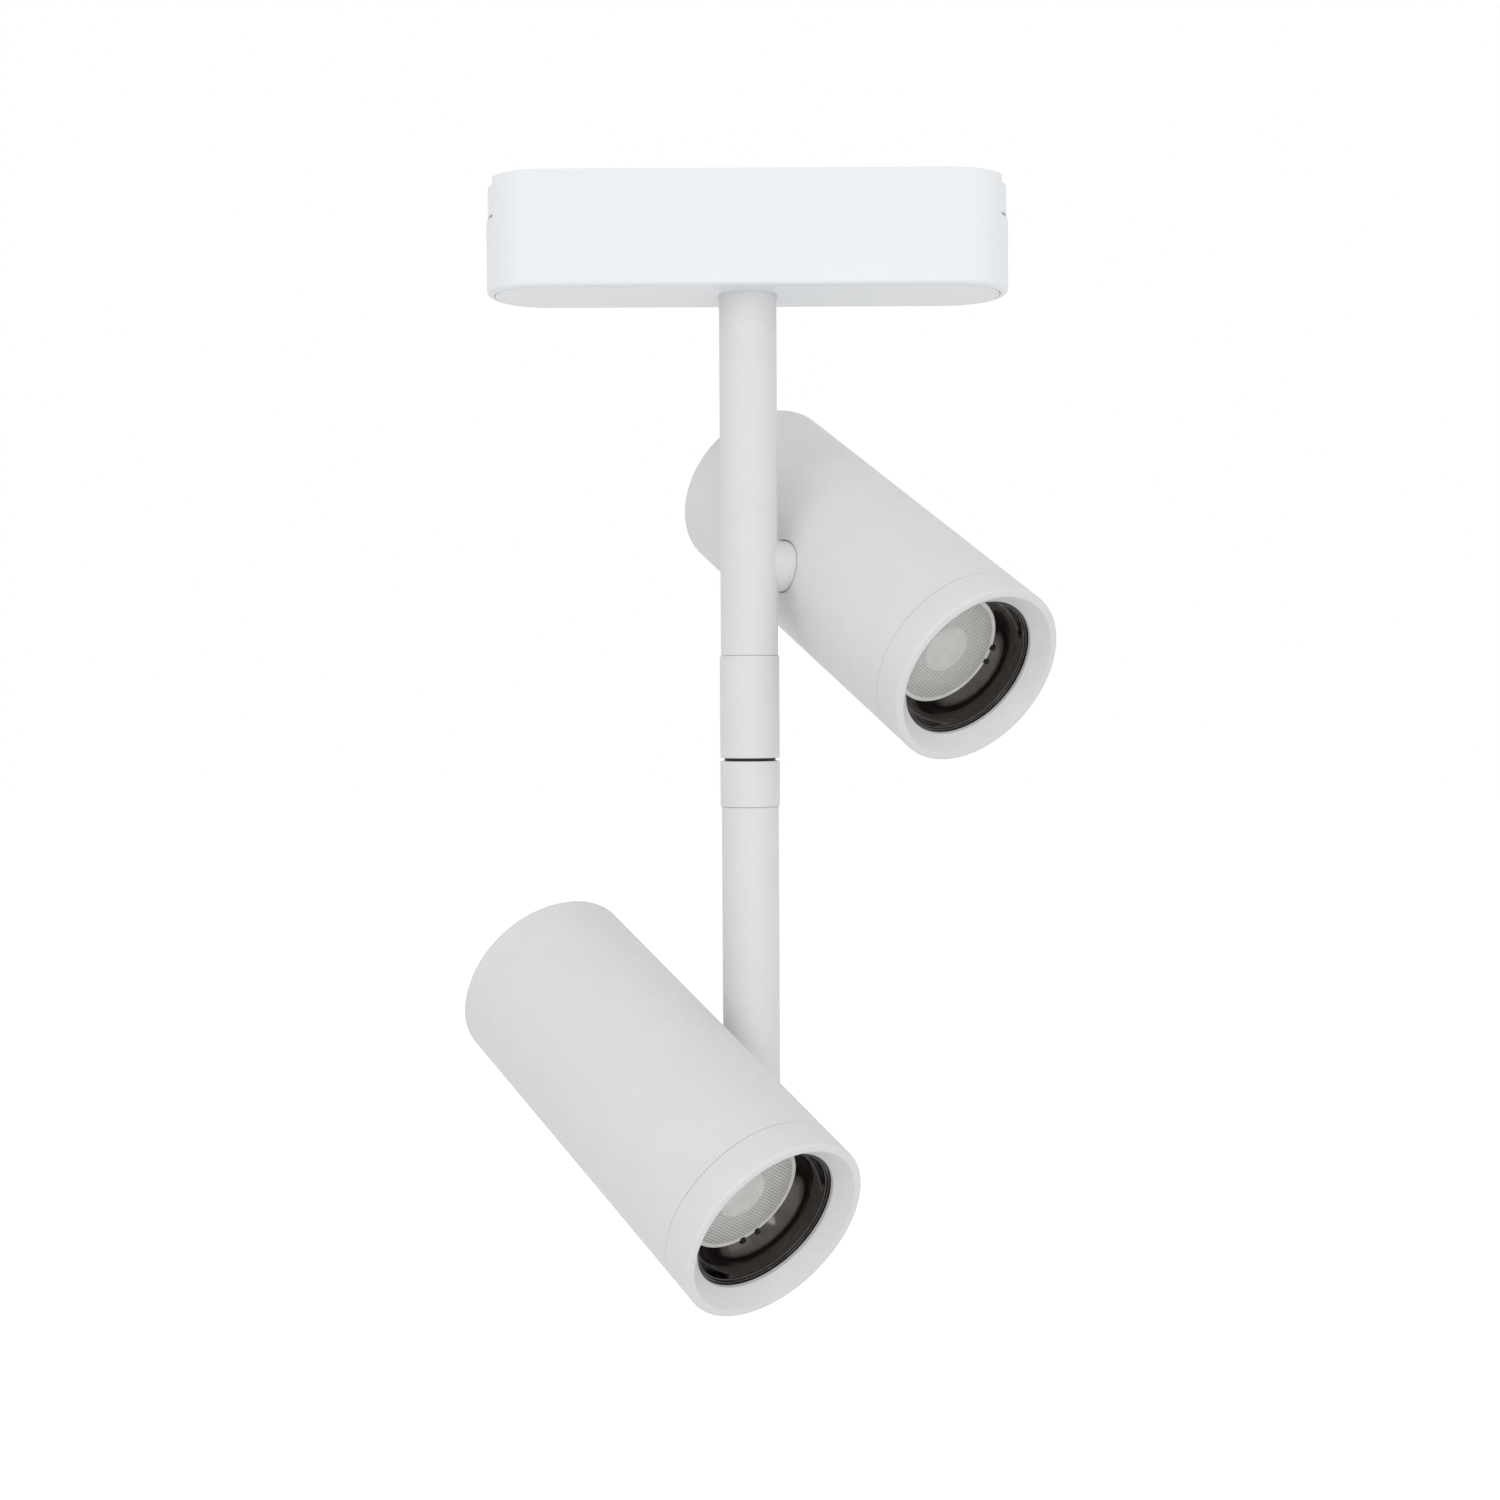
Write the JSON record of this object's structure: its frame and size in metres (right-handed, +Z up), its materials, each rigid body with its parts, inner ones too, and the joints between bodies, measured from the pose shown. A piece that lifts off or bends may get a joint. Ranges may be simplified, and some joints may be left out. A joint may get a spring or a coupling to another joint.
{
  "type": "track light",
  "caption": "Slim track spotlight with a stadium adapter, a straight swivelling stem and cylindrical tilting lamp heads on side bosses.",
  "frame": {"origin": "centre of the adapter's top seating face, on the stem's axis", "axes": "+Z up out of the seating face into the track, +X along the track and the adapter's length"},
  "size_m": [0.1546, 0.1528, 0.2833],
  "materials": {
    "white_powder_coat": "fine-textured white powder coat on aluminium",
    "white_plastic": "smooth satin white polycarbonate",
    "black_plastic": "black insulating nylon",
    "magnet_nickel": "nickel-plated magnet",
    "brass": "gold-flashed brass contact",
    "spring_steel": "bright spring wire",
    "zinc_steel": "zinc-plated steel",
    "green_board": "green solder-masked glass-epoxy board",
    "component_plastic": "moulded component bodies",
    "cast_aluminium": "plain die-cast aluminium",
    "nylon": "dark nylon friction washer",
    "black_chrome": "glossy black chrome on moulded reflector",
    "clear_lens": "clear moulded lens with a fine faceted front",
    "ceramic_board": "white ceramic-faced lamp board",
    "phosphor": "yellow phosphor"
  },
  "bodies": {
    "adapter": {"adapter_shell": "white_plastic", "bottom_cover": "white_plastic", "top_deck": "white_plastic", "case_screws": "zinc_steel", "magnets": "magnet_nickel", "contact_block": "black_plastic", "contact_springs": "spring_steel", "latch_spring_left": "spring_steel", "latch_spring_right": "spring_steel", "driver_board": "green_board", "driver_coil": "component_plastic", "driver_capacitors": "component_plastic", "driver_chips": "component_plastic", "stem_plate": "zinc_steel", "plate_screws": "zinc_steel"},
    "contact_pins": {"contact_pins": "brass"},
    "latch_left": {"latch_left": "white_plastic"},
    "latch_right": {"latch_right": "white_plastic"},
    "upper_stem": {"rod_insert": "cast_aluminium", "stem_nipple": "zinc_steel", "stem_stop_washer": "zinc_steel", "stem_nut": "zinc_steel", "upper_rod": "white_powder_coat", "upper_collar": "white_powder_coat", "swivel_spindle": "zinc_steel", "swivel_washer": "nylon", "swivel_stop_pin": "zinc_steel", "swivel_nut": "zinc_steel", "upper_pivot_boss": "white_powder_coat", "upper_tilt_washer": "zinc_steel", "upper_pivot_nut": "zinc_steel"},
    "lower_stem": {"lower_collar": "white_powder_coat", "lower_rod": "white_powder_coat", "rod_end_plug": "white_powder_coat", "lower_pivot_boss": "white_powder_coat", "lower_tilt_washer": "zinc_steel", "lower_pivot_nut": "zinc_steel"},
    "upper_head": {"upper_housing": "white_powder_coat", "upper_rear_cap": "white_powder_coat", "upper_bezel": "white_powder_coat", "upper_reflector": "black_chrome", "upper_lens": "clear_lens", "upper_lens_holder": "white_plastic", "upper_led_board": "ceramic_board", "upper_led_chip": "phosphor", "upper_heat_sink": "cast_aluminium", "upper_pivot_mount": "cast_aluminium", "upper_mount_screws": "zinc_steel"},
    "lower_head": {"lower_housing": "white_powder_coat", "lower_rear_cap": "white_powder_coat", "lower_bezel": "white_powder_coat", "lower_reflector": "black_chrome", "lower_lens": "clear_lens", "lower_lens_holder": "white_plastic", "lower_led_board": "ceramic_board", "lower_led_chip": "phosphor", "lower_heat_sink": "cast_aluminium", "lower_pivot_mount": "cast_aluminium", "lower_mount_screws": "zinc_steel"}
  },
  "joints": [
    {"name": "stem_turn", "type": "hinge", "parent": "adapter", "child": "upper_stem", "pos_m": [0, 0, -0.0295], "axis": [0, 0, 1], "range_deg": [-170, 170]},
    {"name": "mid_swivel", "type": "hinge", "parent": "upper_stem", "child": "lower_stem", "pos_m": [0, 0, -0.1501], "axis": [0, 0, 1], "range_deg": [-165, 165]},
    {"name": "upper_head_tilt", "type": "hinge", "parent": "upper_stem", "child": "upper_head", "pos_m": [0.02826, 0.02099, -0.0995], "axis": [0.8028, 0.5962, 0], "range_deg": [-31, 59]},
    {"name": "lower_head_tilt", "type": "hinge", "parent": "lower_stem", "child": "lower_head", "pos_m": [-0.02716, -0.02239, -0.2325], "axis": [0.7716, 0.6361, 0], "range_deg": [-27.5, 62.5]},
    {"name": "latch_left_press", "type": "slide", "parent": "adapter", "child": "latch_left", "axis": [1, 0, 0], "range_m": [0, 0.0016], "stiffness_N_per_m": 400, "springref_m": -0.001, "deforming": ["latch_spring_left"]},
    {"name": "latch_right_press", "type": "slide", "parent": "adapter", "child": "latch_right", "axis": [-1, 0, 0], "range_m": [0, 0.0016], "stiffness_N_per_m": 400, "springref_m": -0.001, "deforming": ["latch_spring_right"]},
    {"name": "contact_press", "type": "slide", "parent": "adapter", "child": "contact_pins", "axis": [0, 0, -1], "range_m": [0, 0.0009], "stiffness_N_per_m": 300, "springref_m": -0.0005, "deforming": ["contact_springs"]}
  ]
}
